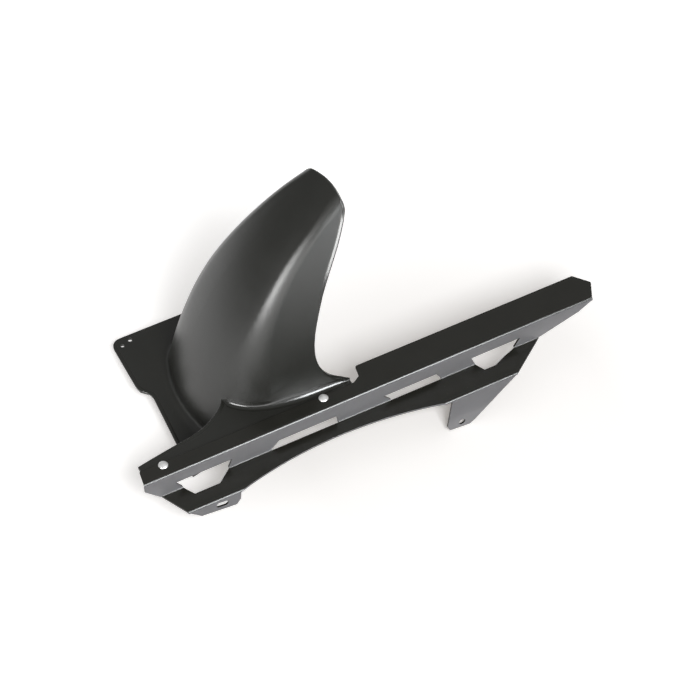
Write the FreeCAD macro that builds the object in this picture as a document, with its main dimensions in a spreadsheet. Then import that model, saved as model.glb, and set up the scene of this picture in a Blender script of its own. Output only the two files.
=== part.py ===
import FreeCAD, Part
import math
import os
import re
import Sketcher
from FreeCAD import Vector

doc = FreeCAD.newDocument("rear_fender")
sheet = doc.addObject("Spreadsheet::Sheet", "sizes")

# Guard-side datum: x rearward, y to the far side, z up, zero at the notch corner of the guard's flange top.
SIZES = [
    # folded guard sheet
    ("sheet_thick", 2.0), ("bend_outer", 3.5), ("bend_inner", 1.5),
    ("guard_front", -245.0), ("guard_rear", 261.5), ("far_edge", 0.0), ("strip_face", -35.0),
    ("web_top", -27.0), ("tab_face", -65.0), ("tab_low", -82.0), ("overrun", 30.0),
    # plan outline of the flange
    ("front_edge", -17.6), ("front_corner_x", -242.0), ("notch_a_x", -10.7), ("notch_b_x", -2.6),
    ("notch_b_y", -12.7), ("notch_c_x", 0.0), ("rear_a_x", 248.6), ("rear_b_y", -16.0),
    ("rear_c_x", 252.4), ("rear_c_y", -33.0), ("rear_d_x", 250.0),
    # side outline of the strip
    ("chin_z", -10.2), ("chin_x", -228.0), ("taper_a_x", 190.5), ("taper_b_x", 236.0), ("taper_b_z", -13.0),
    ("taper_c_x", 250.5), ("taper_c_z", -4.0),
    # plan outline of the web
    ("web_plane", -24.5), ("web_left_x", -213.5), ("arch_a_x", -158.5), ("arch_b_x", 69.5),
    ("arch_radius", 437.0), ("arm_x", 148.3), ("arm_top_x", 190.5),
    # openings in strip and web
    ("win_top", -15.3), ("win_foot", -26.0), ("win_web_top", -32.0), ("win_web_low", -47.0),
    ("wl_a", -213.0), ("wl_b", -152.5), ("wl_c", -156.6), ("wl_d", -205.6), ("wl_e", -198.8), ("wl_f", -172.0),
    ("wr_a", 112.3), ("wr_b", 168.0), ("wr_c", 162.0), ("wr_d", 116.7), ("wr_e", 121.8), ("wr_f", 134.6),
    ("wr_g", 148.4), ("wr_g_y", -39.6), ("wr_low", -45.5),
    ("slit_top", -17.0), ("sa_a", -102.0), ("sa_b", -39.4), ("sa_c", -37.6), ("sa_d", -110.2),
    ("sb_a", 12.9), ("sb_b", 72.2), ("sb_c", 77.9), ("sb_d", 21.2), ("slit_web", -35.6),
    # front tab
    ("tab_root", -29.5), ("ft_a_x", -212.0), ("ft_b_x", -200.8), ("ft_b_z", -40.4), ("ft_c_x", -163.5),
    ("ft_c_z", -45.2), ("ft_d_x", -159.0), ("ft_d_z", -38.6), ("slot_x", -178.6), ("slot_z", -35.4),
    ("slot_wide", 6.5), ("slot_run", 6.5), ("slot_tilt", -8.0),
    # rear tab
    ("rt_a_x", 74.0), ("rt_b_x", 70.0), ("rt_b_z", -67.0), ("rt_c_x", 72.9), ("rt_c_z", -73.2),
    ("rt_d_x", 96.0), ("rt_d_z", -75.8), ("rt_e_x", 101.0), ("rt_e_z", -72.3), ("rt_f_x", 146.5),
    ("bolt_x", 86.3), ("bolt_z", -67.3), ("bolt_hole", 7.0), ("tab_round", 2.5), ("tip_round", 2.0),
    # moulded fender
    ("wall", 3.0), ("tuck_gap", 2.0), ("crown_front", -155.0), ("axle_z", -91.0), ("mid_y", 75.0),
    ("crown_radius", 322.0), ("crown_arc", 147.0), ("foot_drop", 102.0), ("loft_depth", 172.0),
    ("tip_angle", 60.3), ("tip_over", 4.0), ("plate_top", -58.0), ("plate_far", 188.0), ("ledge_front", -240.0), ("ledge_rear", -12.0),
    ("plate_near_x", -182.0), ("plate_front", -181.6), ("plate_in_y", 120.0), ("plate_corner", 10.0), ("plate_hole_a", 4.7), ("plate_hole_b", 4.2),
    ("hole_a_x", -162.2), ("hole_a_y", 181.4), ("hole_b_x", -172.3), ("hole_b_y", 177.9),
    ("ledge_in_x", -100.0), ("ledge_in_y", 45.0), ("low_turn_x", -128.0),
    ("low_turn_y", 36.0), ("low_mid_x", -126.0), ("trim_reach", 400.0),
    # where the sheet and the moulding part into simple pieces
    ("seam_past_bend", 0.5), ("seam_under_ledge", 3.0),
    # rivets
    ("rivet_front_x", -218.5), ("rivet_rear_x", -46.2), ("rivet_y", -21.2), ("rivet_hole", 5.0),
    ("rivet_shank", 4.8), ("rivet_head", 9.6), ("rivet_head_high", 2.3), ("rivet_top", 5.4),
    ("rivet_tail", 7.0), ("rivet_tail_high", 3.0), ("rivet_tail_bevel", 0.8),
]
V = {}
for row, (name, value) in enumerate(SIZES, start=1):
    sheet.set("A%d" % row, name)
    sheet.set("B%d" % row, repr(value))
    sheet.setAlias("B%d" % row, name)
    V[name] = value
doc.recompute()
AXLE_X = V["crown_front"] + V["crown_radius"]
FOOT_RADIUS = V["crown_radius"] - V["foot_drop"]
LOFT_LOW = V["crown_radius"] - V["loft_depth"]


def terms(spec):
    if isinstance(spec, str):
        spec = [(1, spec)]
    return spec


def number(spec):
    return sum(f * V[a] for f, a in terms(spec))


def formula(spec):
    return " + ".join("(%d) * sizes.%s" % (f, a) for f, a in terms(spec))


def plane(body, role):
    return [o for o in body.Origin.OriginFeatures if getattr(o, "Role", "") == role][0]


def sketch(body, role, name, offset=None):
    sk = body.newObject("Sketcher::SketchObject", name)
    sk.AttachmentSupport = [(plane(body, role), "")]
    sk.MapMode = "FlatFace"
    if offset is not None:
        sk.setExpression("AttachmentOffset.Base.z", formula(offset))
    return sk


def outline(sk, points, arcs=None):
    """Closed outline: each corner is bound to the sheet; arcs maps a segment to (radius, side)."""
    arcs = arcs or {}
    n = len(points)
    first = sk.GeometryCount
    xy = [Vector(number(a), number(b), 0) for a, b in points]
    for i in range(n):
        p, q = xy[i], xy[(i + 1) % n]
        if i in arcs:
            alias, side = arcs[i]
            r = V[alias]
            mid = (p + q) * 0.5
            d = q - p
            normal = Vector(-d.y, d.x, 0).normalize() * side
            c = mid - normal * math.sqrt(r * r - d.Length * d.Length / 4)
            a0, a1 = (q, p) if side > 0 else (p, q)
            angles = [math.atan2(v.y - c.y, v.x - c.x) for v in (a0, a1)]
            sk.addGeometry(Part.ArcOfCircle(Part.Circle(c, Vector(0, 0, 1), r), *angles), False)
        else:
            sk.addGeometry(Part.LineSegment(p, q), False)
    ends = [(2, 1) if i in arcs and arcs[i][1] > 0 else (1, 2) for i in range(n)]
    for i in range(n):
        j = (i + 1) % n
        sk.addConstraint(Sketcher.Constraint("Coincident", first + i, ends[i][1], first + j, ends[j][0]))
    for i, (a, b) in enumerate(points):
        for kind, spec in (("DistanceX", a), ("DistanceY", b)):
            k = sk.addConstraint(Sketcher.Constraint(kind, -1, 1, first + i, ends[i][0], number(spec)))
            sk.setExpression("Constraints[%d]" % k, formula(spec))
    for i, (alias, side) in arcs.items():
        k = sk.addConstraint(Sketcher.Constraint("Radius", first + i, V[alias]))
        sk.setExpression("Constraints[%d]" % k, "sizes.%s" % alias)


def pocket(body, sk, name, reverse=False):
    cut = body.newObject("PartDesign::Pocket", name)
    cut.Profile = sk
    cut.Type = "ThroughAll"
    cut.Reversed = reverse
    base = cut.BaseFeature.Shape.Volume
    doc.recompute()
    if not cut.Shape.Volume < base - 0.5:
        raise RuntimeError("%s removes nothing" % name)
    return cut


def dress(body, base, edges, alias, name):
    f = body.newObject("PartDesign::Fillet", name)
    f.Base = (base, edges)
    f.setExpression("Radius", "sizes.%s" % alias)
    doc.recompute()
    return f


def edges_at(shape, test):
    return ["Edge%d" % (i + 1) for i, e in enumerate(shape.Edges) if test(e)]


# Folded guard
guard = doc.addObject("PartDesign::Body", "folded_guard")
guard.Label = "folded_guard"
doc.recompute()
THICK = (1, "sheet_thick")
profile = sketch(guard, "YZ_Plane", "guard_profile", "guard_front")
outline(profile, [
    ("far_edge", [(0, "overrun")]),
    ("strip_face", [(0, "overrun")]),
    ("strip_face", "web_top"),
    ("tab_face", "web_top"),
    ("tab_face", "tab_low"),
    ([(1, "tab_face"), THICK], "tab_low"),
    ([(1, "tab_face"), THICK], [(1, "web_top"), (-1, "sheet_thick")]),
    ([(1, "strip_face"), THICK], [(1, "web_top"), (-1, "sheet_thick")]),
    ([(1, "strip_face"), THICK], [(-1, "sheet_thick")]),
    ("far_edge", [(-1, "sheet_thick")]),
])
doc.recompute()
fold = guard.newObject("PartDesign::Pad", "guard_fold")
fold.Profile = profile
fold.setExpression("Length", "sizes.guard_rear - sizes.guard_front")
doc.recompute()


def long_edge(places):
    def test(e):
        c = e.CenterOfMass
        flat = e.BoundBox.YLength < 1e-4 and e.BoundBox.ZLength < 1e-4
        return flat and any(abs(c.y - y) < 1e-3 and abs(c.z - z) < 1e-3 for y, z in places)
    return test


t = V["sheet_thick"]
outer = [(V["strip_face"], 0), (V["tab_face"], V["web_top"]), (V["strip_face"] + t, V["web_top"] - t)]
inner = [(V["strip_face"] + t, -t), (V["strip_face"], V["web_top"]), (V["tab_face"] + t, V["web_top"] - t)]
bend1 = dress(guard, fold, edges_at(fold.Shape, long_edge(outer)), "bend_outer", "bend_out")
bend2 = dress(guard, bend1, edges_at(bend1.Shape, long_edge(inner)), "bend_inner", "bend_in")

plan = sketch(guard, "XY_Plane", "flange_outline")
OVER = (1, "overrun")
UNDER = (-1, "overrun")
outline(plan, [
    ([(1, "guard_front"), UNDER], "front_edge"),
    ("notch_a_x", "front_edge"),
    ("notch_b_x", "notch_b_y"),
    ("notch_c_x", "far_edge"),
    ("notch_c_x", [OVER]),
    ([(1, "guard_front"), UNDER], [OVER]),
])
pocket(guard, plan, "flange_notch")
ends = sketch(guard, "XY_Plane", "flange_ends")
outline(ends, [
    ("rear_a_x", [OVER]),
    ("rear_a_x", "far_edge"),
    ("guard_rear", "rear_b_y"),
    ("rear_c_x", "rear_c_y"),
    ("rear_d_x", [(1, "strip_face"), UNDER]),
    ([(1, "guard_rear"), OVER], [(1, "strip_face"), UNDER]),
    ([(1, "guard_rear"), OVER], [OVER]),
])
outline(ends, [
    ("front_corner_x", "far_edge"),
    ("front_corner_x", "front_edge"),
    ("guard_front", "strip_face"),
    ([(1, "guard_front"), UNDER], "strip_face"),
    ([(1, "guard_front"), UNDER], "far_edge"),
])
pocket(guard, ends, "flange_end_cut")

side = sketch(guard, "XZ_Plane", "strip_outline")
outline(side, [
    ([(1, "guard_front"), UNDER], "chin_z"),
    ("guard_front", "chin_z"),
    ("chin_x", [(1, "web_top"), (-1, "sheet_thick")]),
    ("chin_x", [(1, "tab_low"), UNDER]),
    ([(1, "guard_front"), UNDER], [(1, "tab_low"), UNDER]),
])
outline(side, [
    ("taper_a_x", [(1, "tab_low"), UNDER]),
    ("taper_a_x", "web_top"),
    ("taper_b_x", "taper_b_z"),
    ("taper_c_x", "taper_c_z"),
    ([(1, "guard_rear"), OVER], "taper_c_z"),
    ([(1, "guard_rear"), OVER], [(1, "tab_low"), UNDER]),
])
pocket(guard, side, "strip_end_cut", True)

web = sketch(guard, "XY_Plane", "web_outline", "web_plane")
LOW = [(1, "tab_face"), UNDER]
outline(web, [
    ([(1, "guard_front"), UNDER], "strip_face"),
    ("chin_x", "strip_face"),
    ("web_left_x", "tab_face"),
    ("web_left_x", LOW),
    ([(1, "guard_front"), UNDER], LOW),
])
outline(web, [
    ("arch_a_x", LOW),
    ("arch_a_x", "tab_face"),
    ("arch_b_x", "tab_face"),
    ("arch_b_x", LOW),
], {1: ("arch_radius", 1)})
outline(web, [
    ("arm_top_x", "strip_face"),
    ([(1, "guard_rear"), OVER], "strip_face"),
    ([(1, "guard_rear"), OVER], LOW),
    ("arm_x", LOW),
    ("arm_x", "tab_face"),
])
outline(web, [
    ("wl_d", "win_web_top"),
    ("wl_d", "strip_face"),
    ("wl_e", "win_web_low"),
    ("wl_f", "win_web_low"),
    ("wl_c", "strip_face"),
    ("wl_c", "win_web_top"),
])
outline(web, [
    ("wr_d", "win_web_top"),
    ("wr_d", "strip_face"),
    ("wr_e", "wr_low"),
    ("wr_f", "wr_low"),
    ("wr_g", "wr_g_y"),
    ("wr_c", "strip_face"),
    ("wr_c", "win_web_top"),
])
for a, b in (("sa_d", "sa_c"), ("sb_d", "sb_c")):
    outline(web, [(a, "win_web_top"), (a, "slit_web"), (b, "slit_web"), (b, "win_web_top")])
pocket(guard, web, "web_cut")

holes = sketch(guard, "XZ_Plane", "strip_windows")
outline(holes, [("wl_a", "win_top"), ("wl_b", "win_top"), ("wl_c", "win_foot"), ("wl_d", "win_foot")])
outline(holes, [("wr_a", "win_top"), ("wr_b", "win_top"), ("wr_c", "win_foot"), ("wr_d", "win_foot")])
outline(holes, [("sa_a", "slit_top"), ("sa_b", "slit_top"), ("sa_c", "win_foot"), ("sa_d", "win_foot")])
outline(holes, [("sb_a", "slit_top"), ("sb_b", "slit_top"), ("sb_c", "win_foot"), ("sb_d", "win_foot")])
pocket(guard, holes, "strip_window_cut", True)

tabs = sketch(guard, "XZ_Plane", "tab_outline")
DEEP = [(1, "tab_low"), UNDER]
outline(tabs, [
    ("guard_front", "tab_root"),
    ("ft_a_x", "tab_root"),
    ("ft_b_x", "ft_b_z"),
    ("ft_c_x", "ft_c_z"),
    ("ft_d_x", "ft_d_z"),
    ("arch_a_x", "tab_root"),
    ([(1, "arch_a_x"), OVER], "tab_root"),
    ([(1, "arch_a_x"), OVER], DEEP),
    ("guard_front", DEEP),
])
outline(tabs, [
    ([(1, "arch_b_x"), UNDER], "tab_root"),
    ("rt_a_x", "tab_root"),
    ("rt_b_x", "rt_b_z"),
    ("rt_c_x", "rt_c_z"),
    ("rt_d_x", "rt_d_z"),
    ("rt_e_x", "rt_e_z"),
    ("rt_f_x", "tab_root"),
    ("taper_a_x", "tab_root"),
    ("taper_a_x", DEEP),
    ([(1, "arch_b_x"), UNDER], DEEP),
])
pocket(guard, tabs, "tab_cut", True)

bores = sketch(guard, "XZ_Plane", "tab_bores")
bores.addGeometry(Part.Circle(Vector(V["bolt_x"], V["bolt_z"], 0), Vector(0, 0, 1), V["bolt_hole"] / 2), False)
for kind, spec in (("DistanceX", "bolt_x"), ("DistanceY", "bolt_z")):
    k = bores.addConstraint(Sketcher.Constraint(kind, -1, 1, 0, 3, V[spec]))
    bores.setExpression("Constraints[%d]" % k, "sizes.%s" % spec)
k = bores.addConstraint(Sketcher.Constraint("Radius", 0, V["bolt_hole"] / 2))
bores.setExpression("Constraints[%d]" % k, "sizes.bolt_hole / 2")
pocket(guard, bores, "bolt_bore", True)

tilt = math.radians(V["slot_tilt"])
slot = sketch(guard, "XZ_Plane", "tab_slot")
c = Vector(V["slot_x"], V["slot_z"], 0)
d = Vector(math.cos(tilt), math.sin(tilt), 0)
w = Vector(-d.y, d.x, 0)
a, b = c - d * (V["slot_run"] / 2), c + d * (V["slot_run"] / 2)
r = V["slot_wide"] / 2
slot.addGeometry(Part.LineSegment(a - w * r, b - w * r), False)
slot.addGeometry(Part.Arc(b - w * r, b + d * r, b + w * r), False)
slot.addGeometry(Part.LineSegment(b + w * r, a + w * r), False)
slot.addGeometry(Part.Arc(a + w * r, a - d * r, a - w * r), False)
pocket(guard, slot, "slot_cut", True)

rivet_bores = sketch(guard, "XY_Plane", "rivet_bores")
for i, alias in enumerate(("rivet_front_x", "rivet_rear_x")):
    spot = Vector(V[alias], V["rivet_y"], 0)
    rivet_bores.addGeometry(Part.Circle(spot, Vector(0, 0, 1), V["rivet_hole"] / 2), False)
    for kind, spec in (("DistanceX", alias), ("DistanceY", "rivet_y")):
        k = rivet_bores.addConstraint(Sketcher.Constraint(kind, -1, 1, i, 3, V[spec]))
        rivet_bores.setExpression("Constraints[%d]" % k, "sizes.%s" % spec)
    k = rivet_bores.addConstraint(Sketcher.Constraint("Radius", i, V["rivet_hole"] / 2))
    rivet_bores.setExpression("Constraints[%d]" % k, "sizes.rivet_hole / 2")
last = pocket(guard, rivet_bores, "rivet_bore")


def corner(spots, reach):
    def test(e):
        if abs(e.Length - V["sheet_thick"]) > 0.01:
            return False
        c = e.CenterOfMass
        return any((Vector(*s) - c).Length < reach for s in spots)
    return test


ty = V["tab_face"] + t / 2
tab_spots = [
    (V["ft_b_x"], ty, V["ft_b_z"]), (V["ft_c_x"], ty, V["ft_c_z"]), (V["ft_d_x"], ty, V["ft_d_z"]),
    (V["rt_b_x"], ty, V["rt_b_z"]), (V["rt_c_x"], ty, V["rt_c_z"]), (V["rt_d_x"], ty, V["rt_d_z"]),
    (V["rt_e_x"], ty, V["rt_e_z"]),
]
last = dress(guard, last, edges_at(last.Shape, corner(tab_spots, 0.5)), "tab_round", "tab_corners")
tip_spots = [
    (V["guard_rear"], V["rear_b_y"], -t / 2), (V["rear_a_x"], V["far_edge"], -t / 2),
    (V["front_corner_x"], V["front_edge"], -t / 2), (V["notch_c_x"], V["far_edge"], -t / 2),
    (V["notch_a_x"], V["front_edge"], -t / 2), (V["notch_b_x"], V["notch_b_y"], -t / 2),
]
last = dress(guard, last, edges_at(last.Shape, corner(tip_spots, 0.5)), "tip_round", "flange_corners")
guard.Tip = last
doc.recompute()

# seams just past the bends part the folded sheet into flat pieces
FLANGE_Y = "(strip_face + bend_outer + seam_past_bend)"
WEB_Y = "(strip_face - bend_inner - seam_past_bend)"
TAB_Z = "(web_top - bend_outer - seam_past_bend)"
MID_X = "((arch_a_x + arch_b_x) / 2)"
WIDE = "trim_reach"
SLABS = [
    ("guard_flange", "-" + WIDE, WIDE, FLANGE_Y, WIDE, "-" + WIDE, WIDE),
    ("guard_strip", "-" + WIDE, WIDE, WEB_Y, FLANGE_Y, "-" + WIDE, WIDE),
    ("guard_web", "-" + WIDE, WIDE, "-" + WIDE, WEB_Y, TAB_Z, WIDE),
    ("guard_front_tab", "-" + WIDE, MID_X, "-" + WIDE, WEB_Y, "-" + WIDE, TAB_Z),
    ("guard_rear_tab", MID_X, WIDE, "-" + WIDE, WEB_Y, "-" + WIDE, TAB_Z),
]


def in_sheet(text):
    """The same sum with each size read from the sheet."""
    for name in sorted(V, key=len, reverse=True):
        text = re.sub(r"(?<![\w.])%s(?!\w)" % name, "sizes." + name, text)
    return text


sheets = []
for label, x0, x1, y0, y1, z0, z1 in SLABS:
    slab = doc.addObject("Part::Box", label + "_slab")
    for prop, low, high in (("x", x0, x1), ("y", y0, y1), ("z", z0, z1)):
        slab.setExpression("Placement.Base." + prop, in_sheet(low))
        size = {"x": "Length", "y": "Width", "z": "Height"}[prop]
        slab.setExpression(size, in_sheet("%s - (%s)" % (high, low)))
    part = doc.addObject("Part::Common", label)
    part.Base = guard
    part.Tool = slab
    part.Label = label
    sheets.append(part)
doc.recompute()
for part in sheets:
    if len(part.Shape.Solids) != 1:
        raise RuntimeError("%s has %d solids" % (part.Label, len(part.Shape.Solids)))

# Moulded fender: two lofts through radial sections about the wheel axis
STEPS = [-8.0, 1.0, 9.0, 17.0, 25.0, 33.0, 41.0, 49.0, 55.0]
STATIONS = STEPS + [V["tip_angle"] + V["tip_over"]]
PAST = 4.0
INSIDE = [STEPS[0] - PAST] + STEPS[1:] + [STATIONS[-1] + PAST]
KNOTS = [5.0, 20.0, 38.0, 60.0]


def eased(values, angle):
    """Section value at an angle: a smooth curve through the knots."""
    n = len(KNOTS)
    x = min(max(angle, KNOTS[0]), KNOTS[-1])
    k = max(i for i in range(n - 1) if x >= KNOTS[i])
    slope = []
    for m in (k, k + 1):
        i, j = max(m - 1, 0), min(m + 1, n - 1)
        slope.append((values[j] - values[i]) / (KNOTS[j] - KNOTS[i]))
    h = KNOTS[k + 1] - KNOTS[k]
    f = (x - KNOTS[k]) / h
    a = values[k] * (1 + 2 * f) * (1 - f) ** 2 + values[k + 1] * f * f * (3 - 2 * f)
    return a + h * (slope[0] * f * (1 - f) ** 2 - slope[1] * f * f * (1 - f))


FOOT = [92.0, 84.0, 82.0, 76.0]
LEAN = [5.0, 7.0, 18.0, 26.0]
ROUND = [45.0, 50.0, 22.0, 12.0]


def place(angle, y, rho):
    a = math.radians(angle)
    return Vector(AXLE_X - rho * math.cos(a), V["mid_y"] + y, V["axle_z"] + rho * math.sin(a))


def side_points(angle, off):
    """One half of a section: foot, three points of the ridge round, crown top."""
    lean = math.radians(eased(LEAN, angle))
    big = V["crown_arc"] - off
    small = eased(ROUND, angle) - off
    foot = eased(FOOT, angle) - off / math.cos(lean)
    base = V["crown_radius"] - V["crown_arc"]
    ny, nr = math.cos(lean), math.sin(lean)
    d0 = ny * foot + nr * FOOT_RADIUS - small - nr * base
    run = math.sqrt((big - small) ** 2 - d0 * d0)
    cy, cr = ny * d0 - nr * run, base + nr * d0 + ny * run
    b1 = math.atan2(cy, cr - base)
    b2 = math.pi / 2 - lean
    half = [(foot - (LOFT_LOW - FOOT_RADIUS) * math.tan(lean), LOFT_LOW)]
    for b in (b2, (b1 + b2) / 2, b1):
        half.append((cy + small * math.sin(b), cr + small * math.cos(b)))
    return half


def bow(p, m, q):
    """Round from p through m to q, as one cubic span."""
    arc = Part.Arc(p, m, q).toShape()
    first, last = arc.FirstParameter, arc.LastParameter
    arm = 4 / 3 * math.tan((last - first) / 4) * arc.Curve.Radius
    curve = Part.BezierCurve()
    curve.setPoles([p, p + arc.tangentAt(first) * arm, q - arc.tangentAt(last) * arm, q])
    return curve.toShape()


def arch_edges(angle, off):
    half = side_points(angle, off)
    p = [place(angle, y, rho) for y, rho in half]
    q = [place(angle, -y, rho) for y, rho in half]
    top = place(angle, 0, V["crown_radius"] - off)
    return [
        Part.LineSegment(p[0], p[1]).toShape(), bow(p[1], p[2], p[3]),
        bow(p[3], top, q[3]), bow(q[3], q[2], q[1]),
        Part.LineSegment(q[1], q[0]).toShape(),
    ], p[0], q[0]


def section(angle, off):
    edges, a, b = arch_edges(angle, off)
    return Part.Wire(edges + [Part.LineSegment(b, a).toShape()])


def facets(angle, off):
    """The same section in short straight runs."""
    points = []
    for edge, runs in zip(arch_edges(angle, off)[0], (1, 4, 6, 4, 1)):
        points += edge.discretize(runs + 1)[:-1]
    points.append(arch_edges(angle, off)[2])
    return Part.makePolygon(points + points[:1])


def loft(make, angles, off, ruled=False):
    return Part.makeLoft([make(a, off) for a in angles], True, ruled)


def spline(points):
    c = Part.BSplineCurve()
    c.interpolate(points)
    return c.toShape()


def prism(edges, low, high, axis):
    face = Part.Face(Part.Wire(edges))
    face.translate(axis * low)
    return face.extrude(axis * (high - low))


def path(points):
    return [Part.LineSegment(a, b).toShape() for a, b in zip(points[:-1], points[1:])]


UP = Vector(0, 0, 1)
ACROSS = Vector(0, 1, 0)
REACH = V["trim_reach"]
skin = loft(section, STATIONS, 0)
shell = skin.cut(loft(facets, INSIDE, V["wall"], True))
hollow = loft(section, INSIDE, V["wall"] / 2)
print("shell", shell.isValid(), len(shell.Solids), round(shell.Volume))

# rear edge of the flanks, side view
rear_near = [(30, 212), (19.5, 190), (13.2, 177.5), (0.5, 153), (-13.6, 128.6), (-25.7, 105.5), (-33.5, 86.1), (-39.6, 68.3),
             (-43.3, 49.8), (-41.7, 28.4), (-31.7, 11.5), (-21, 3.5), (V["ledge_rear"], -1.5)]
rear_far = rear_near[:9] + [(-45, 20), (-44, -8), (-38, -34), (-28, -50), (V["ledge_rear"], -57.5)]


def flank_cut(points, y0, y1):
    pts = [Vector(x, 0, z) for x, z in points]
    low = V["axle_z"] - REACH
    back = [pts[-1], Vector(pts[-1].x, 0, low), Vector(REACH, 0, low), Vector(REACH, 0, pts[0].z), pts[0]]
    return prism([spline(pts)] + path(back), y0, y1, ACROSS)


# tip outline as seen square to the arch: across, and along the arch past the tip angle
tip_pts = [(40.8, -5.2), (43.4, -1.7), (46.2, 0.8), (51.9, 2.6), (62.4, 4.0), (73.2, 3.9), (85.1, 1.5), (94, -1.2),
           (100.9, -4.5), (104.9, -8.5), (109.5, -13.5)]
tip_ends = [(126, -24), (20, -32)]
tip_a = math.radians(V["tip_angle"])
tip_out = Vector(-math.cos(tip_a), 0, math.sin(tip_a))
tip_along = Vector(math.sin(tip_a), 0, math.cos(tip_a))


def at_tip(y, along):
    return Vector(AXLE_X, y, V["axle_z"]) + tip_along * along


tip_line = [at_tip(*p) for p in tip_pts]
far_end, near_end = [at_tip(*p) for p in tip_ends]
past = tip_along * (REACH / 4)
tip_edges = [spline(tip_line)] + path([tip_line[-1], far_end, far_end + past, near_end + past, near_end, tip_line[0]])
shell = shell.cut(prism(tip_edges, LOFT_LOW, V["crown_radius"] + past.Length, tip_out))
shell = shell.cut(flank_cut(rear_near, -REACH, V["mid_y"]))
shell = shell.cut(flank_cut(rear_far, V["mid_y"], REACH))

ledge_top = -V["sheet_thick"]
ledge_low = ledge_top - V["wall"]
plate_low = V["plate_top"] - V["wall"]
edge_pts = [(-240, -10.5), (-218.3, -6.9), (-196.6, -3.6), (-171.1, 0.6), (-163.3, 3.3), (-150, 10.4),
            (-140.5, 17.2), (-135, 23.4), (-130.5, 31.0)]
free = [Vector(x, y, 0) for x, y in edge_pts]


def shifted(points, dist):
    out = []
    for i, p in enumerate(points):
        a = points[max(i - 1, 0)]
        b = points[min(i + 1, len(points) - 1)]
        d = (b - a).normalize()
        out.append(p - Vector(-d.y, d.x, 0) * dist)
    return out


near_y = V["strip_face"] + V["sheet_thick"] + V["tuck_gap"]
rear_x = V["ledge_rear"]
in_y = V["ledge_in_y"]
ledge_back = path([free[-1], Vector(V["ledge_in_x"], in_y, 0), Vector(rear_x, in_y, 0), Vector(rear_x, near_y, 0),
                   Vector(V["ledge_front"], near_y, 0), free[0]])
ledge = prism([spline(free)] + ledge_back, ledge_low, ledge_top, UP).cut(hollow)
inner_line = shifted(free, V["wall"])
riser_edges = [spline(free)] + path([free[-1], inner_line[-1]]) + [spline(inner_line)] + path([inner_line[0], free[0]])
riser = prism(riser_edges, plate_low, ledge_top, UP).cut(hollow)
riser = riser.common(Part.makeBox(REACH, 2 * REACH, 2 * REACH, Vector(V["plate_near_x"], -REACH, -REACH)))

far = V["plate_far"]
rc = V["plate_corner"]
front_pts = [(-182, -1.2), (-173.5, 102.4), (-174.6, 108.0), (-181.6, 115.5), (-183, 122.5)]
under_pts = [(-110, 60), (-130, 29), (-134.5, 22), (-140, 16.2), (-150, 9.2), (-163.3, 2.1), (-171, -0.6), (-182, -2.4)]
corner_x = V["plate_front"]
cut_in = rc * (1 - math.sqrt(0.5))
front = [Vector(x, y, 0) for x, y in front_pts] + [Vector(corner_x, far - rc, 0)]
side_end = Vector(corner_x + rc, far, 0)
back = [side_end, Vector(rear_x, far, 0), Vector(rear_x, V["plate_in_y"], 0)]
back += [Vector(x, y, 0) for x, y in under_pts] + [front[0]]
turn = Part.Arc(front[-1], Vector(corner_x + cut_in, far - cut_in, 0), side_end).toShape()
plate_edges = path(front) + [turn] + path(back)
plate = prism(plate_edges, plate_low, V["plate_top"], UP).cut(hollow)

# the dome reaches the plate only past the riser and on the far side
mid = V["mid_y"]
low_edges = [spline(free)] + path([
    free[-1], Vector(V["low_turn_x"], V["low_turn_y"], 0), Vector(V["low_mid_x"], mid, 0), Vector(REACH, mid, 0),
    Vector(REACH, REACH, 0), Vector(-REACH, REACH, 0), Vector(-REACH, free[0].y, 0), free[0]])
low_zone = prism(low_edges, plate_low, 0, UP)
high_zone = Part.makeBox(2 * REACH, 2 * REACH, REACH, Vector(-REACH, -REACH, ledge_low))
dome = shell.common(high_zone.fuse(low_zone))

body = dome.fuse([ledge, riser, plate]).removeSplitter()
print("fender solids", len(body.Solids), "volume", round(body.Volume))
for x, y, size in ((V["rivet_front_x"], V["rivet_y"], V["rivet_hole"]), (V["rivet_rear_x"], V["rivet_y"], V["rivet_hole"]),
                   (V["hole_a_x"], V["hole_a_y"], V["plate_hole_a"]), (V["hole_b_x"], V["hole_b_y"], V["plate_hole_b"])):
    body = body.cut(Part.makeCylinder(size / 2, 2 * REACH, Vector(x, y, -REACH)))
if body.ShapeType == "Compound" and len(body.Solids) == 1:
    body = body.Solids[0]
# a level seam below the ledge parts the moulding into hood and skirt
seam_z = ledge_low - V["seam_under_ledge"]
below = Part.makeBox(2 * REACH, 2 * REACH, REACH, Vector(-REACH, -REACH, seam_z - REACH))
pieces = []
for label, shape in (("fender_hood", body.cut(below)), ("fender_skirt", body.common(below))):
    if len(shape.Solids) != 1:
        raise RuntimeError("%s has %d solids" % (label, len(shape.Solids)))
    piece = doc.addObject("Part::Feature", label)
    piece.Label = label
    piece.Shape = shape.Solids[0]
    pieces.append(piece)

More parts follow.
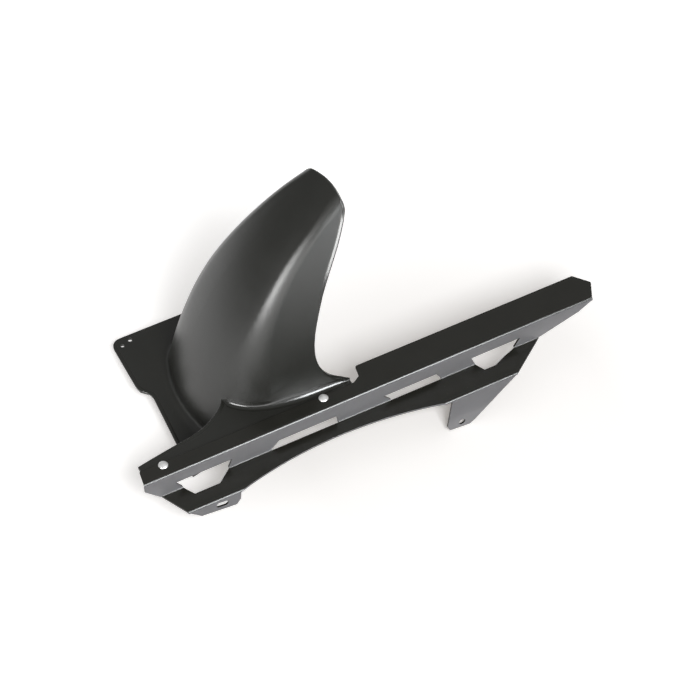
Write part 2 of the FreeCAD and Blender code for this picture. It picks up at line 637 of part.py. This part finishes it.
# Rivets: bevelled head on the guard, shank through both sheets, formed tail below
r = V["rivet_head"] / 2
high = V["rivet_head_high"]
top = V["rivet_top"] / 2
s = V["rivet_shank"] / 2
tail = ledge_low
tr = V["rivet_tail"] / 2
tail_end = tail - V["rivet_tail_high"]
outline_edges = path([
    Vector(0, 0, high), Vector(top, 0, high), Vector(r, 0, 0), Vector(s, 0, 0), Vector(s, 0, tail),
    Vector(tr, 0, tail), Vector(tr - V["rivet_tail_bevel"], 0, tail_end), Vector(0, 0, tail_end), Vector(0, 0, high)])
stem = Part.Face(Part.Wire(outline_edges)).revolve(Vector(0, 0, 0), UP, 360)
pair = []
for alias in ("rivet_front_x", "rivet_rear_x"):
    one = stem.copy()
    one.translate(Vector(V[alias], V["rivet_y"], 0))
    pair.append(one)
rivets = doc.addObject("Part::Feature", "rivets")
rivets.Label = "rivets"
rivets.Shape = Part.makeCompound(pair)

# the rear tab's bolt hole, at the tab's outer face, is the origin
for obj in pieces + sheets + [rivets]:
    obj.setExpression("Placement.Base.x", "-sizes.bolt_x")
    obj.setExpression("Placement.Base.y", "-sizes.tab_face")
    obj.setExpression("Placement.Base.z", "-sizes.bolt_z")
doc.recompute()

os.makedirs("parts", exist_ok=True)
for obj in doc.Objects:
    if "Invalid" in obj.State or "Error" in obj.State:
        raise RuntimeError("%s is in error" % obj.Name)
for obj in pieces + sheets + [rivets]:
    shape = obj.Shape
    if shape.isNull() or not shape.isValid():
        raise RuntimeError("%s is not valid" % obj.Label)
    box = shape.BoundBox
    print(obj.Label, len(shape.Solids), round(shape.Volume), [round(v, 1) for v in (
        box.XMin, box.XMax, box.YMin, box.YMax, box.ZMin, box.ZMax)])
    shape.exportStep("parts/%s.step" % obj.Label)
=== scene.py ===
import math

import bmesh
import bpy
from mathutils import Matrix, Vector
from mathutils.bvhtree import BVHTree


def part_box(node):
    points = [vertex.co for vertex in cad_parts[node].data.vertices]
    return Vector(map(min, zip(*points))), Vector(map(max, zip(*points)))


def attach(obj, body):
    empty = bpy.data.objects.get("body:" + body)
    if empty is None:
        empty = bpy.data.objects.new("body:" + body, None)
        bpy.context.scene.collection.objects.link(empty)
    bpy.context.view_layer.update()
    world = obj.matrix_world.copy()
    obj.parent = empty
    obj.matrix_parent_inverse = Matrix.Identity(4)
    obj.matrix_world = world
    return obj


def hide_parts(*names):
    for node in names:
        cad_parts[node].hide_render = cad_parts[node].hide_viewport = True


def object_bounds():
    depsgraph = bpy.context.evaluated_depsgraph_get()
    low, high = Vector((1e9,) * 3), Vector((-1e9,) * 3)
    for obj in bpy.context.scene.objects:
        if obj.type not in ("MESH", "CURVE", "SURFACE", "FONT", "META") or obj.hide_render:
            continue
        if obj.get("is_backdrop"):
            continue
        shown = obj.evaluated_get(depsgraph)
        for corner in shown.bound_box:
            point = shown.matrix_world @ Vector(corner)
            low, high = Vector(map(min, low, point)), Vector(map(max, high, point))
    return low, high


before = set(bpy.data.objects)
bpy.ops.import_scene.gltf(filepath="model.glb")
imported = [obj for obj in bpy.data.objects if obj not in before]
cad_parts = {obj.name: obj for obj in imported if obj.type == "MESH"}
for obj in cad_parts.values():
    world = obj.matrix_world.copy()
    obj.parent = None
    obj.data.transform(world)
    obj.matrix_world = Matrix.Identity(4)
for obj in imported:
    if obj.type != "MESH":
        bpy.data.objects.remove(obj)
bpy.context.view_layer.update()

print("frame loaded:", ", ".join(sorted(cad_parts)))


# a socket that can be used in sums, and one method for every other node
class Wire:
    def __init__(self, tree, socket=None):
        self.tree = tree
        self.socket = socket

    def make(self, kind, settings=None, inputs=None, out=0):
        node = self.tree.nodes.new(kind)
        for key, value in (settings or {}).items():
            setattr(node, key, value)
        for key, value in (inputs or {}).items():
            if isinstance(value, Wire):
                self.tree.links.new(value.socket, node.inputs[key])
            else:
                node.inputs[key].default_value = value
        return Wire(self.tree, node.outputs[out] if len(node.outputs) else None)

    def sum(self, operation, a, b):
        return self.make("ShaderNodeMath", {"operation": operation}, {0: a, 1: b})

    def __add__(self, other):
        return self.sum("ADD", self, other)

    def __radd__(self, other):
        return self.sum("ADD", other, self)

    def __sub__(self, other):
        return self.sum("SUBTRACT", self, other)

    def __rsub__(self, other):
        return self.sum("SUBTRACT", other, self)

    def __mul__(self, other):
        return self.sum("MULTIPLY", self, other)

    def __rmul__(self, other):
        return self.sum("MULTIPLY", other, self)

    def noise(self, where, scale, detail):
        return self.make("ShaderNodeTexNoise", {"noise_dimensions": "3D"},
                         {"Vector": where, "Scale": scale, "Detail": detail, "Roughness": 0.5}, "Fac")

    def between(self, low, high):
        return self.make("ShaderNodeMapRange", {"clamp": True},
                         {0: self, 1: low, 2: high, 3: 0.0, 4: 1.0})

    def blend(self, a, b):
        return self.make("ShaderNodeMix", {"data_type": "RGBA"}, {0: self, 6: a, 7: b}, 2)

    def part(self, axis):
        return self.make("ShaderNodeSeparateXYZ", None, {0: self}, axis)


def newMaterial(name):
    mat = bpy.data.materials.new(name)
    mat.use_nodes = True
    mat.node_tree.nodes.clear()
    return mat, Wire(mat.node_tree)


def closeMaterial(w, inputs):
    skin = w.make("ShaderNodeBsdfPrincipled", None, inputs)
    w.make("ShaderNodeOutputMaterial", None, {"Surface": skin})


# fine pale specks over a tone
def speckled(w, at, look, tone):
    specks = w.noise(at, look["specks"], detail=1).between(*look["speckRange"])
    return (specks * look["speckShare"]).blend(tone, look["speckTone"])


# a fine bump over edges that shade as if slightly rounded
def bumped(w, look, height):
    edge = w.make("ShaderNodeBevel", {"samples": look["edgeRays"]}, {"Radius": look["edge"]})
    return w.make("ShaderNodeBump", None, {"Strength": look["bump"], "Distance": look["deep"],
                                           "Height": height, "Normal": edge})


# moulded black plastic with a fine satin grain
mouldingLook = {"dark": (0.014, 0.0143, 0.0118, 1), "light": (0.021, 0.0213, 0.0178, 1), "cloud": 22,
                "specks": 900, "speckRange": (0.74, 0.80), "speckShare": 0.25,
                "speckTone": (0.10, 0.10, 0.095, 1),
                "rough": 0.36, "roughSpan": 0.10, "worn": 0.15, "specular": 0.5,
                "grain": 2600, "bump": 0.12, "deep": 0.0002, "edge": 0.0008, "edgeRays": 6}


def mouldingMaterial(name, worn=0.0, wornBelow=None):
    look = mouldingLook
    mat, w = newMaterial(name)
    at = w.make("ShaderNodeTexCoord", None, None, "Object")
    cloud = w.noise(at, look["cloud"], detail=3)
    grain = w.noise(at, look["grain"], detail=2)
    tone = speckled(w, at, look, cloud.blend(look["dark"], look["light"]))
    rough = look["rough"] + (cloud - 0.5) * look["roughSpan"] - worn
    if wornBelow:                                  # the wear runs out between two levels
        rough = rough + at.part("Z").between(*wornBelow) * worn
    closeMaterial(w, {"Base Color": tone, "Roughness": rough, "Normal": bumped(w, look, grain),
                      "Specular IOR Level": look["specular"]})
    return mat


# smooth black paint on folded sheet; its outward upright faces get a lighter grey, a painted reflection
# standing in for the light they reflect
paintLook = {"dark": (0.015, 0.015, 0.012, 1), "light": (0.022, 0.0215, 0.018, 1), "cloud": 30,
             "paintedSheen": (0.212, 0.211, 0.218, 1), "paintedSheenShare": 0.85, "paintedSheenSpan": 0.3,
             "upright": (0.80, 0.97),
             "specks": 1100, "speckRange": (0.74, 0.80), "speckShare": 0.2,
             "speckTone": (0.12, 0.12, 0.11, 1),
             "rough": 0.24, "roughSpan": 0.08, "specular": 0.4,
             "peel": 420, "bump": 0.014, "deep": 0.0003, "edge": 0.0005, "edgeRays": 6}


def paintMaterial():
    look = paintLook
    mat, w = newMaterial("guardPaint")
    at = w.make("ShaderNodeTexCoord", None, None, "Object")
    facing = w.make("ShaderNodeTexCoord", None, None, "Normal")
    upright = (0 - facing.part("Y")).between(*look["upright"])
    cloud = w.noise(at, look["cloud"], detail=3)
    peel = w.noise(at, look["peel"], detail=2)
    # painted reflection: the outward upright faces are made lighter by their facing alone
    paintedSheen = (upright * (look["paintedSheenShare"] + cloud * look["paintedSheenSpan"])).between(0, 1)
    tone = paintedSheen.blend(cloud.blend(look["dark"], look["light"]), look["paintedSheen"])
    closeMaterial(w, {"Base Color": speckled(w, at, look, tone),
                      "Roughness": look["rough"] + (cloud - 0.5) * look["roughSpan"],
                      "Normal": bumped(w, look, peel), "Specular IOR Level": look["specular"]})
    return mat


# bright drawn aluminium
rivetLook = {"dark": (0.70, 0.70, 0.69, 1), "light": (0.90, 0.90, 0.89, 1), "cloud": 700,
             "metallic": 0.35, "rough": 0.28, "roughSpan": 0.12, "bump": 0.15, "deep": 0.0002}


def rivetMaterial():
    look = rivetLook
    mat, w = newMaterial("rivetMetal")
    at = w.make("ShaderNodeTexCoord", None, None, "Object")
    cloud = w.noise(at, look["cloud"], detail=3)
    bump = w.make("ShaderNodeBump", None, {"Strength": look["bump"], "Distance": look["deep"],
                                           "Height": cloud})
    closeMaterial(w, {"Base Color": cloud.blend(look["dark"], look["light"]),
                      "Metallic": look["metallic"],
                      "Roughness": look["rough"] + cloud * look["roughSpan"], "Normal": bump})
    return mat


moulding = mouldingMaterial("satinMoulding")
wornEdge = mouldingMaterial("wornEdge", mouldingLook["worn"])
paint = paintMaterial()
rivetMetal = rivetMaterial()
print("materials ready")

onPlane = 2e-5                                     # a corner this near to a plane lies on it


# one visual piece from several nodes of one physical piece, open at the seams between them
def mergedPiece(look, seams):
    bm = bmesh.new()
    for node in look["nodes"]:
        bm.from_mesh(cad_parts[node].data)
    bmesh.ops.remove_doubles(bm, verts=bm.verts, dist=look["weld"])
    drop = [face for face in bm.faces
            if any(all(abs(v.co[axis] - place) < onPlane for v in face.verts) for axis, place in seams)]
    bmesh.ops.delete(bm, geom=drop, context="FACES")
    bmesh.ops.remove_doubles(bm, verts=bm.verts, dist=look["weld"])
    return bm


def openEdges(bm):
    return [edge for edge in bm.edges if len(edge.link_faces) == 1]


# open edges that lie on each other get the same corners, then are welded
def closeSeam(bm, reach, passes=2, ends=0.01):
    for _ in range(passes):
        for v in dict.fromkeys(v for edge in openEdges(bm) for v in edge.verts):
            for edge in openEdges(bm):
                if v in edge.verts:
                    continue
                a, b = edge.verts
                span = b.co - a.co
                t = (v.co - a.co).dot(span) / max(span.length_squared, 1e-12)
                if ends < t < 1 - ends and (a.co + span * t - v.co).length < reach:
                    if min(t, 1 - t) * span.length > reach:
                        bmesh.utils.edge_split(edge, a, t)
                    break
        corners = dict.fromkeys(v for edge in openEdges(bm) for v in edge.verts)
        bmesh.ops.remove_doubles(bm, verts=list(corners), dist=reach)
    print("seam edges left open:", len(openEdges(bm)))


def finishPiece(name, bm, mat, nodeNames=()):
    mesh = bpy.data.meshes.new(name)
    bm.to_mesh(mesh)
    bm.free()
    return placePiece(name, mesh, mat, nodeNames)


def placePiece(name, mesh, mat, nodeNames=()):
    piece = bpy.data.objects.new(name, mesh)
    bpy.context.scene.collection.objects.link(piece)
    mesh.materials.append(mat)
    mesh.polygons.foreach_set("use_smooth", [True] * len(mesh.polygons))
    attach(piece, "root")
    if nodeNames:
        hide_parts(*nodeNames)
    print(name + ":", len(mesh.polygons), "faces")
    return piece


def gridMesh(name, rows, closed):
    count = len(rows[0])
    faces = []
    for i in range(len(rows) - 1):
        for k in range(count if closed else count - 1):
            a, b = i * count + k, i * count + (k + 1) % count
            faces.append((a, b, b + count, a + count))
    mesh = bpy.data.meshes.new(name)
    mesh.from_pydata([v for row in rows for v in row], [], faces)
    return mesh


def evenShade(piece):
    even = piece.modifiers.new("evenShade", "WEIGHTED_NORMAL")
    even.mode = "FACE_AREA_WITH_ANGLE"
    even.keep_sharp = True


def markSharp(bm, angle):
    bm.normal_update()
    for edge in bm.edges:
        edge.smooth = len(edge.link_faces) != 2 or edge.calc_face_angle() < math.radians(angle)


def smoothStep(value, low, high):
    t = min(max((value - low) / (high - low), 0), 1)
    return t * t * (3 - 2 * t)


def softened(values, times):
    for _ in range(times):
        middle = [(a + b * 2 + c) / 4 for a, b, c in zip(values, values[1:], values[2:])]
        values = [values[0]] + middle + [values[-1]]
    return values


# edges with two facings each, joined end to end into chains of places and facings
def chained(edges, fewest=5):
    links, firsts, seconds = {}, {}, {}
    for edge, first, second in edges:
        for v in edge.verts:
            links.setdefault(v, []).append(edge.other_vert(v))
            firsts[v] = firsts.get(v, Vector()) + first
            seconds[v] = seconds.get(v, Vector()) + second
    chains, left = [], dict.fromkeys(links)
    while left:
        ends = [v for v in left if len([q for q in links[v] if q in left]) < 2]
        onward = [min(ends or left, key=lambda q: (round(q.co.y, 4), round(q.co.x, 4)))]
        chain = []
        while onward:
            chain.append(onward[0])
            del left[onward[0]]
            onward = [q for q in links[chain[-1]] if q in left]
        if len(chain) >= fewest:                   # shorter ones are scraps
            chains.append([(q.co.copy(), firsts[q].normalized(), seconds[q].normalized())
                           for q in chain])
    return chains


# even steps along a chain, with its places and facings smoothed
def evenChain(chain, step, times, fewest=4):
    run = [0.0]
    for a, b in zip(chain, chain[1:]):
        run.append(run[-1] + (b[0] - a[0]).length)
    count = max(int(run[-1] / step), fewest)
    even, k = [], 0
    for i in range(count + 1):
        at = run[-1] * i / count
        while k < len(run) - 2 and run[k + 1] < at:
            k += 1
        t = (at - run[k]) / max(run[k + 1] - run[k], 1e-9)
        even.append([a.lerp(b, t) for a, b in zip(chain[k], chain[k + 1])])
    places, firsts, seconds = [softened(list(column), times) for column in zip(*even)]
    return [(p, n.normalized(), m.normalized()) for p, n, m in zip(places, firsts, seconds)]


# the chain whose ends are furthest apart
def widest(chains):
    return max(chains, key=lambda chain: (chain[0][0] - chain[-1][0]).length)


# moulded arch, ledge, riser and plate
fenderPiece = {"nodes": ["fender_hood", "fender_skirt"], "weld": 1e-5, "seamReach": 0.0002, "sharp": 35,
               "plateThick": 0.003, "wornRise": (0.004, 0.008),
               "heart": (0.06, 0.14, -0.02), "rimAbove": 0.001, "rimFacing": 0.3,
               "flatFacing": 0.99, "wallFacing": 0.95, "sideFacing": 0.4, "offLevel": 1e-4}
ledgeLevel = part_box("guard_flange")[0].z
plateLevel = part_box("fender_skirt")[0].z + fenderPiece["plateThick"]
wornFoot = mouldingMaterial("wornFoot", mouldingLook["worn"],
                            [ledgeLevel + rise for rise in fenderPiece["wornRise"]])


# corner edges of the free rim, with the facing of the wall and of the cut side
def outerEdges(bm):
    heart = Vector(fenderPiece["heart"])
    rim = []
    for edge in bm.edges:
        if edge.smooth or edge.calc_face_angle_signed() < 0:
            continue
        mid = (edge.verts[0].co + edge.verts[1].co) / 2
        if mid.z < ledgeLevel + fenderPiece["rimAbove"]:
            continue
        out = (mid - heart).normalized()
        wall, cutFace = sorted(edge.link_faces, key=lambda f: -f.normal.dot(out))
        if wall.normal.dot(out) > fenderPiece["rimFacing"]:
            rim.append((edge, wall.normal.copy(), cutFace.normal.copy()))
    return rim


# edges of a level face, with its facing and that of the one other face that the test takes
def levelEdges(bm, level, isOther):
    found = []
    for edge in bm.edges:
        if any(abs(v.co.z - level) > onPlane for v in edge.verts) or len(edge.link_faces) != 2:
            continue
        flat = [f for f in edge.link_faces if f.normal.z > fenderPiece["flatFacing"]]
        other = [f for f in edge.link_faces if isOther(f.normal.z, f.calc_center_median().z - level)]
        if len(flat) == 1 and len(other) == 1:
            found.append((edge, flat[0].normal.copy(), other[0].normal.copy()))
    return found


def isWall(facing, rise):
    return facing < fenderPiece["wallFacing"] and rise > fenderPiece["offLevel"]


def isSide(facing, rise):
    return abs(facing) < fenderPiece["sideFacing"] and rise < -fenderPiece["offLevel"]


# where the arch stands on a level face, the wall's facing first
def footChains(bm, level):
    return chained([(edge, wall, flat) for edge, flat, wall in levelEdges(bm, level, isWall)])


bm = mergedPiece(fenderPiece, [(2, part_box("fender_skirt")[1].z)])
closeSeam(bm, fenderPiece["seamReach"])
markSharp(bm, fenderPiece["sharp"])
rimChains = chained(outerEdges(bm))
ledgeRims = chained(levelEdges(bm, ledgeLevel, isSide))
plateRims = chained(levelEdges(bm, plateLevel, isSide))
ledgeChains = footChains(bm, ledgeLevel)
plateChains = footChains(bm, plateLevel)
wallTree = BVHTree.FromBMesh(bm)
fender = finishPiece("fenderMoulding", bm, moulding, fenderPiece["nodes"])
evenShade(fender)

# hollow rounds where the arch meets the ledge and the plate, with a flare of the flank above the ledge
footRound = {"ledge": 0.0040, "plate": 0.0090, "least": 0.0004, "runOut": 2.6, "lap": 0.003,
             "tongue": 0.3, "rise": 3.8, "skin": 0.00004, "rayFrom": 0.02, "rayLong": 0.05,
             "steps": 8, "pitch": 0.003, "soften": 6,
             "flare": ((-0.190, 0.0), (-0.169, 0.0036), (-0.152, 0.0052), (-0.134, 0.0044),
                       (-0.115, 0.0018), (-0.104, 0.0))}


def footFlare(x):
    for (a, low), (b, high) in zip(footRound["flare"], footRound["flare"][1:]):
        if a <= x <= b:
            return low + (high - low) * (x - a) / (b - a)
    return 0.0


def footRow(place, wall, up, r, flare):
    steps, skin = footRound["steps"], footRound["skin"]
    out = Vector((wall.x, wall.y, 0)).normalized()
    tall = r + footRound["lap"] + flare * footRound["rise"]
    row = []
    for k in range(steps + 1):                     # down the wall to where the round starts
        high = tall + (r - tall) * k / steps
        spot = place + up * high
        hit = wallTree.ray_cast(spot + out * footRound["rayFrom"], -out, footRound["rayLong"])[0]
        row.append((hit or spot) + out * (flare * (1 - high / tall) ** 2 + skin))
    start, corner = row[-1], place + out * flare
    end = corner + out * r + up * skin
    for k in range(1, steps + 1):                  # round the hollow corner
        t = k / steps
        row.append(start * (1 - t) ** 2 + corner * (2 * t * (1 - t)) + end * t ** 2)
    return row + [end + out * (r * footRound["tongue"])]


def footStrip(name, chains, radius, flared, mat):
    least, pitch = footRound["least"], footRound["pitch"]
    for number, chain in enumerate(chains):
        line = evenChain(chain, pitch, footRound["soften"])
        flares = [footFlare(spot[0].x) if flared else 0.0 for spot in line]
        flares = softened(flares, footRound["soften"])
        rows = []
        for i, (place, wall, up) in enumerate(line):
            fromEnd = min(i, len(line) - 1 - i) * pitch
            r = least + (radius - least) * smoothStep(fromEnd, 0, footRound["runOut"] * radius)
            rows.append(footRow(place, wall, up, r, flares[i]))
        label = name + (str(number + 1) if len(chains) > 1 else "")
        placePiece(label, gridMesh(label, rows, False), mat)


footStrip("ledgeFoot", ledgeChains, footRound["ledge"], True, wornFoot)
footStrip("plateFoot", plateChains, footRound["plate"], False, moulding)

# rolled edges of the ledge's front and of the plate, across from the level face to the cut side
edgeRoll = {"unit": 0.001, "endShare": 0.3, "runOut": 0.006, "pitch": 0.0025, "soften": 2,
            "ledgeFrom": 0.0555, "turnBack": 0.001,
            "profile": ((4.0, -0.05), (3.0, 0.08), (2.0, 0.28), (1.2, 0.36), (0.4, 0.26), (-0.1, 0.0),
                        (-0.35, -0.5), (-0.4, -1.1), (-0.25, -1.8), (0.05, -2.4), (0.3, -2.8))}


def rollPiece(name, chain):
    line = evenChain(chain, edgeRoll["pitch"], edgeRoll["soften"])
    least = edgeRoll["endShare"]
    rows = []
    for i, (place, up, side) in enumerate(line):
        fromEnd = min(i, len(line) - 1 - i) * edgeRoll["pitch"]
        size = edgeRoll["unit"] * (least + (1 - least) * smoothStep(fromEnd, 0, edgeRoll["runOut"]))
        rows.append([place - side * (d * size) + up * (h * size) for d, h in edgeRoll["profile"]])
    placePiece(name, gridMesh(name, rows, False), wornEdge)


rollPiece("ledgeRoll", [spot for spot in widest(ledgeRims) if spot[0].y > edgeRoll["ledgeFrom"]])
plateFront = widest(plateRims)
while plateFront[-1][0].y < plateFront[-2][0].y - edgeRoll["turnBack"]:       # ends at the rear corner
    plateFront = plateFront[:-1]
rollPiece("plateRoll", plateFront)

# lip flared out along the free edge, full on the upper near flank and slight elsewhere
rimLip = {"wide": 0.0046, "high": 0.0019, "slight": 0.30, "full": (0.150, 0.192),
          "turn": (0.100, 0.122), "pitch": 0.0025, "soften": 8,
          "profile": ((1.0, -0.03), (0.80, 0.03), (0.64, 0.18), (0.52, 0.40), (0.40, 0.66),
                      (0.30, 0.86), (0.20, 0.98), (0.10, 0.96), (0.03, 0.76), (0.0, 0.45),
                      (0.0, 0.0), (0.06, -0.3))}


def lipPiece(name, chain):
    rows = []
    for place, wall, cutSide in evenChain(chain, rimLip["pitch"], rimLip["soften"]):
        share = smoothStep(place.z, *rimLip["full"]) * (1 - smoothStep(place.y, *rimLip["turn"]))
        size = rimLip["slight"] + (1 - rimLip["slight"]) * share
        inward = (wall * cutSide.dot(wall) - cutSide).normalized()
        rows.append([place + inward * (rimLip["wide"] * size * d) + wall * (rimLip["high"] * size * h)
                     for d, h in rimLip["profile"]])
    placePiece(name, gridMesh(name, rows, False), wornEdge)


lipPiece("rimLip", max(rimChains, key=len))

# folded guard
guardPiece = {"nodes": ["guard_flange", "guard_strip", "guard_web", "guard_front_tab",
                        "guard_rear_tab"], "weld": 2e-5, "flatAngle": 0.3, "sharp": 35}
guardSeams = [(1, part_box("guard_flange")[0].y), (1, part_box("guard_strip")[0].y),
              (2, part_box("guard_front_tab")[1].z)]
bm = mergedPiece(guardPiece, guardSeams)
bmesh.ops.dissolve_limit(bm, angle_limit=math.radians(guardPiece["flatAngle"]),
                         verts=bm.verts, edges=bm.edges)
markSharp(bm, guardPiece["sharp"])
guard = finishPiece("guardSheet", bm, paint, guardPiece["nodes"])
evenShade(guard)

# dome heads on the flange and set tails under the ledge
rivetPiece = {"head": 0.0048, "high": 0.0023, "lip": 0.0005, "lipTurn": 0.4, "lipIn": 0.0002,
              "tail": 0.0035, "tailHigh": 0.0030, "tailOut": 0.0006, "tailSide": 0.0016,
              "tailTurn": (0.92, 0.0006), "tailEnd": 0.7, "centre": 0.00005, "sides": 40, "steps": 10}


def rivetPieces():
    look = rivetPiece
    low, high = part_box("rivets")
    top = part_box("guard_flange")[1].z
    crown, under = top + look["high"], low.z + look["tailHigh"]
    r, tail, shank = look["head"], look["tail"], look["tail"] - look["tailOut"]
    turnOut, turnUp = look["tailTurn"]
    rise = look["high"] - look["lip"]
    ball = (r * r + rise * rise) / (2 * rise)      # sphere through the rim and the crown
    lean = math.asin(r / ball)
    profile = [(look["centre"], crown)]
    for k in range(1, look["steps"] + 1):
        a = lean * k / look["steps"]
        profile.append((ball * math.sin(a), crown - ball * (1 - math.cos(a))))
    profile += [(r, top + look["lip"] * look["lipTurn"]), (r - look["lipIn"], top), (shank, top),
                (shank, under), (tail, under), (tail, under - look["tailSide"]),
                (tail * turnOut, low.z + turnUp), (tail * look["tailEnd"], low.z),
                (look["centre"], low.z)]
    turns = [k * math.tau / look["sides"] for k in range(look["sides"])]
    y = (low.y + high.y) / 2
    for name, x in (("rivetFront", low.x + r), ("rivetRear", high.x - r)):
        rows = [[Vector((x + q * math.cos(t), y - q * math.sin(t), z)) for t in turns]
                for q, z in profile]
        placePiece(name, gridMesh(name, rows, True), rivetMetal, ["rivets"])


rivetPieces()


def flatSheet(name, x, y, z):
    mesh = bpy.data.meshes.new(name)
    corners = [(x[0], y[0], z), (x[1], y[0], z), (x[1], y[1], z), (x[0], y[1], z)]
    mesh.from_pydata(corners, [], [(0, 1, 2, 3)])
    sheet = bpy.data.objects.new(name, mesh)
    bpy.context.scene.collection.objects.link(sheet)
    return sheet


def rayKinds(w):
    return [w.make("ShaderNodeLightPath", None, None, "Is %s Ray" % kind)
            for kind in ("Camera", "Glossy", "Transmission")]


def plainFace(w, tone):
    return w.make("ShaderNodeBsdfDiffuse", None, {"Color": (tone, tone, tone, 1)})


# pale floor that goes to white away from the object, to the camera and in reflections; nearer the
# object its glow is dimmer and warm, a painted shade around the object
floorLook = {"size": 12.0, "below": 0.0003, "tone": 0.92, "shadeGlow": (0.26, 0.242, 0.225, 1),
             "white": (1, 1, 1, 1), "far": (0.16, 0.70)}


def makeFloor():
    half = floorLook["size"] / 2
    floor = flatSheet("floor", (-half, half), (-half, half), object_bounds()[0].z - floorLook["below"])
    mat, w = newMaterial("paleFloor")
    camera, glossy, clear = rayKinds(w)
    seen = (camera + glossy + clear).between(0.0, 1.0)
    at = w.make("ShaderNodeTexCoord", None, None, "Object")
    away = w.make("ShaderNodeVectorMath", {"operation": "LENGTH"}, {0: at}, "Value")
    # painted shade: the glow is dimmer and warmer near the object and white further out
    tone = away.between(*floorLook["far"]).blend(floorLook["shadeGlow"], floorLook["white"])
    glow = w.make("ShaderNodeEmission", None, {"Color": tone, "Strength": seen})
    both = w.make("ShaderNodeAddShader", None, {0: plainFace(w, floorLook["tone"]), 1: glow})
    w.make("ShaderNodeOutputMaterial", None, {"Surface": both})
    floor.data.materials.append(mat)
    floor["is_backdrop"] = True


# dark card on the floor before the object, which shows only in reflections: a painted dark reflection
# standing in for the shaded floor near the object
cardLook = {"x": (-0.45, 0.40), "y": (-0.95, -0.012), "above": 0.0012, "tone": 0.02}


def makeCard():
    card = flatSheet("darkCard", cardLook["x"], cardLook["y"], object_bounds()[0].z + cardLook["above"])
    mat, w = newMaterial("reflectionShadeCard")
    w.make("ShaderNodeOutputMaterial", None, {"Surface": plainFace(w, cardLook["tone"])})
    card.data.materials.append(mat)
    card.visible_camera = card.visible_diffuse = card.visible_shadow = False
    card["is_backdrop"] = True


# white to the camera, and in reflections white walls, dark above them and a little lighter overhead
worldLook = {"light": 0.33, "dark": 0.23, "ceiling": (0.0, 0.18), "overhead": 0.20,
             "overheadFrom": (0.50, 0.80), "white": (1, 1, 1, 1)}


def makeWorld():
    world = bpy.data.worlds.new("studio")
    bpy.context.scene.world = world
    world.use_nodes = True
    world.node_tree.nodes.clear()
    w = Wire(world.node_tree)
    up = w.make("ShaderNodeTexCoord", None, None, "Generated").part("Z")
    ceiling = up.between(*worldLook["ceiling"])
    overhead = up.between(*worldLook["overheadFrom"]) * worldLook["overhead"]
    camera, glossy, clear = rayKinds(w)
    straight = (camera + clear).between(0.0, 1.0)
    plain = 1 - (straight + glossy).between(0.0, 1.0)
    mirrored = 1 - ceiling * (1 - worldLook["dark"]) + overhead
    level = straight + glossy * mirrored + plain * worldLook["light"]
    shade = w.make("ShaderNodeBackground", None, {"Color": worldLook["white"], "Strength": level})
    w.make("ShaderNodeOutputWorld", None, {"Surface": shade})


# lamps by heading from the near side, height angle, size and brightness of their face
lampSet = {"aim": (-0.08, 0.08, 0.10), "far": 2.6, "lamps": {
    "key": {"heading": -10, "height": 46, "size": (0.9, 0.9), "face": 19,
            "tint": (1, 1, 1), "sheen": False},
    "leftPanel": {"heading": -62, "height": 24, "size": (1.4, 0.85), "face": 24,
                  "tint": (1, 1, 1), "sheen": True},
    "middlePanel": {"heading": -25, "height": 16, "size": (1.7, 0.9), "face": 5,
                    "tint": (1, 1, 1), "sheen": True},
    "rightPanel": {"heading": 18, "height": 32, "size": (0.85, 1.2), "face": 34,
                   "tint": (0.95, 0.98, 1), "sheen": True},
    "frontPanel": {"heading": 4, "height": 1, "size": (1.4, 0.4), "face": 4.6,
                   "tint": (0.96, 0.98, 1), "sheen": True}}}


def addLamp(name, look):
    turn, rise = math.radians(look["heading"]), math.radians(look["height"])
    out = Vector((math.sin(turn) * math.cos(rise), -math.cos(turn) * math.cos(rise), math.sin(rise)))
    lamp = bpy.data.lights.new(name, "AREA")
    lamp.shape = "RECTANGLE"
    lamp.size, lamp.size_y = look["size"]
    lamp.energy = look["face"] * math.pi * lamp.size * lamp.size_y
    lamp.color = look["tint"]
    spot = bpy.data.objects.new(name, lamp)
    spot.location = Vector(lampSet["aim"]) + out * lampSet["far"]
    spot.rotation_euler = (-out).to_track_quat("-Z", "Y").to_euler()
    spot.visible_glossy = look["sheen"]            # panels only as sheen, the key lamp only as light
    spot.visible_diffuse = not look["sheen"]
    spot.visible_camera = False
    bpy.context.scene.collection.objects.link(spot)


makeFloor()
makeCard()
makeWorld()
for lampName, lampLook in lampSet["lamps"].items():
    addLamp(lampName, lampLook)
print("stage lit")

# camera at the photograph's place
cameraSet = {"place": (-0.8529, -1.3473, 2.0067), "tilt": 40.0, "turn": -28.32,
             "lens": 132.17, "sensor": 36, "clipEnd": 50}
eye = bpy.data.cameras.new("eye")
eye.lens = cameraSet["lens"]
eye.sensor_width = cameraSet["sensor"]
eye.clip_end = cameraSet["clipEnd"]
cam = bpy.data.objects.new("eye", eye)
cam.location = cameraSet["place"]
cam.rotation_euler = (math.radians(cameraSet["tilt"]), 0, math.radians(cameraSet["turn"]))
bpy.context.scene.collection.objects.link(cam)
bpy.context.scene.camera = cam
bpy.context.scene.view_settings.view_transform = "Standard"

print("camera and sizes set")
